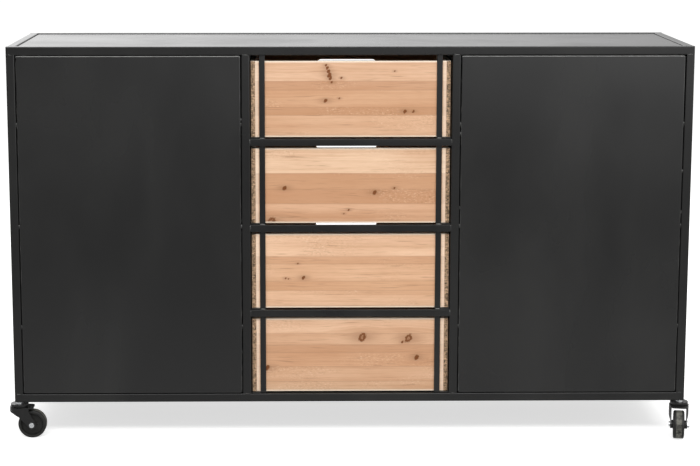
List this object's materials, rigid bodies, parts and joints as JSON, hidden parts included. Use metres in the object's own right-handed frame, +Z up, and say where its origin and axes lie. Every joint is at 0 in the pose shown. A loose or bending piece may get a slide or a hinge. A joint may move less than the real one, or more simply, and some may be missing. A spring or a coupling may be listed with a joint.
{
  "type": "sideboard",
  "caption": "Steel sideboard on swivel casters, with a cupboard and door at each end and a bay of open wooden drawers with hand holds between them.",
  "frame": {"origin": "on the floor, under the middle of the cabinet", "axes": "+Z up, X along the width, +Y out of the front with the doors and drawer fronts; -Y is the back with its grid of bars. Left is -X and right is +X."},
  "size_m": [1.464, 0.4772, 0.8421],
  "materials": {
    "black_paint": "satin black paint on steel",
    "fir_wood": "sanded edge-glued fir laths, clear matt finish",
    "drawer_ply": "sanded plywood",
    "zinc_steel": "bright zinc plate",
    "fork_paint": "black stoved paint on pressed steel",
    "wheel_rubber": "matt black rubber",
    "catch_plastic": "black moulded plastic"
  },
  "bodies": {
    "cabinet": {"back_rails": "black_paint", "back_uprights": "black_paint", "front_rails": "black_paint", "front_uprights": "black_paint", "depth_rails": "black_paint", "crossbars": "black_paint", "stop_bars": "black_paint", "drawer_runners": "black_paint", "top_plate": "black_paint", "floor_plate": "black_paint", "end_panels": "black_paint", "back_panels": "black_paint", "partitions": "black_paint", "shelves": "black_paint", "shelf_cleats": "black_paint", "hinge_pins": "black_paint", "door_catches": "catch_plastic", "stem_bushes": "zinc_steel", "caster_back_left_stem": "zinc_steel", "caster_back_right_stem": "zinc_steel", "caster_front_right_stem": "zinc_steel", "caster_front_left_stem": "zinc_steel"},
    "left_door": {"left_door": "black_paint", "left_door_hinges": "black_paint", "left_handle": "black_paint"},
    "right_door": {"right_door": "black_paint", "right_door_hinges": "black_paint", "right_handle": "black_paint"},
    "drawer_1": {"drawer_1_front": "fir_wood", "drawer_1_back": "fir_wood", "drawer_1_sides": "fir_wood", "drawer_1_bottom": "drawer_ply"},
    "drawer_2": {"drawer_2_front": "fir_wood", "drawer_2_back": "fir_wood", "drawer_2_sides": "fir_wood", "drawer_2_bottom": "drawer_ply"},
    "drawer_3": {"drawer_3_front": "fir_wood", "drawer_3_back": "fir_wood", "drawer_3_sides": "fir_wood", "drawer_3_bottom": "drawer_ply"},
    "drawer_4": {"drawer_4_front": "fir_wood", "drawer_4_back": "fir_wood", "drawer_4_sides": "fir_wood", "drawer_4_bottom": "drawer_ply"},
    "swivel_back_left": {"caster_back_left_balls": "zinc_steel", "caster_back_left_fork": "fork_paint", "caster_back_left_axle": "zinc_steel"},
    "wheel_back_left": {"caster_back_left_wheel": "wheel_rubber"},
    "swivel_back_right": {"caster_back_right_balls": "zinc_steel", "caster_back_right_fork": "fork_paint", "caster_back_right_axle": "zinc_steel"},
    "wheel_back_right": {"caster_back_right_wheel": "wheel_rubber"},
    "swivel_front_right": {"caster_front_right_balls": "zinc_steel", "caster_front_right_fork": "fork_paint", "caster_front_right_axle": "zinc_steel"},
    "wheel_front_right": {"caster_front_right_wheel": "wheel_rubber"},
    "swivel_front_left": {"caster_front_left_balls": "zinc_steel", "caster_front_left_fork": "fork_paint", "caster_front_left_axle": "zinc_steel"},
    "wheel_front_left": {"caster_front_left_wheel": "wheel_rubber"}
  },
  "joints": [
    {"name": "left_door_swing", "type": "hinge", "parent": "cabinet", "child": "left_door", "pos_m": [-0.70125, 0.19555, 0.4601], "axis": [0, 0, 1], "range_deg": [0, 180]},
    {"name": "right_door_swing", "type": "hinge", "parent": "cabinet", "child": "right_door", "pos_m": [0.70125, 0.19555, 0.4601], "axis": [0, 0, -1], "range_deg": [0, 180]},
    {"name": "drawer_1_slide", "type": "slide", "parent": "cabinet", "child": "drawer_1", "axis": [0, 1, 0], "range_m": [0, 0.3]},
    {"name": "drawer_2_slide", "type": "slide", "parent": "cabinet", "child": "drawer_2", "axis": [0, 1, 0], "range_m": [0, 0.3]},
    {"name": "drawer_3_slide", "type": "slide", "parent": "cabinet", "child": "drawer_3", "axis": [0, 1, 0], "range_m": [0, 0.3]},
    {"name": "drawer_4_slide", "type": "slide", "parent": "cabinet", "child": "drawer_4", "axis": [0, 1, 0], "range_m": [0, 0.3]},
    {"name": "swivel_back_left", "type": "hinge", "parent": "cabinet", "child": "swivel_back_left", "pos_m": [-0.711, -0.181, 0.068], "axis": [0, 0, 1], "continuous": true},
    {"name": "roll_back_left", "type": "hinge", "parent": "swivel_back_left", "child": "wheel_back_left", "pos_m": [-0.684, -0.181, 0.03], "axis": [0, 1, 0], "continuous": true},
    {"name": "swivel_back_right", "type": "hinge", "parent": "cabinet", "child": "swivel_back_right", "pos_m": [0.711, -0.181, 0.068], "axis": [0, 0, 1], "continuous": true},
    {"name": "roll_back_right", "type": "hinge", "parent": "swivel_back_right", "child": "wheel_back_right", "pos_m": [0.70631, -0.20759, 0.03], "axis": [0.9848, -0.1736, 0], "continuous": true},
    {"name": "swivel_front_right", "type": "hinge", "parent": "cabinet", "child": "swivel_front_right", "pos_m": [0.711, 0.181, 0.068], "axis": [0, 0, 1], "continuous": true},
    {"name": "roll_front_right", "type": "hinge", "parent": "swivel_front_right", "child": "wheel_front_right", "pos_m": [0.684, 0.181, 0.03], "axis": [0, -1, 0], "continuous": true},
    {"name": "swivel_front_left", "type": "hinge", "parent": "cabinet", "child": "swivel_front_left", "pos_m": [-0.711, 0.181, 0.068], "axis": [0, 0, 1], "continuous": true},
    {"name": "roll_front_left", "type": "hinge", "parent": "swivel_front_left", "child": "wheel_front_left", "pos_m": [-0.70631, 0.20759, 0.03], "axis": [-0.9848, 0.1736, 0], "continuous": true}
  ]
}
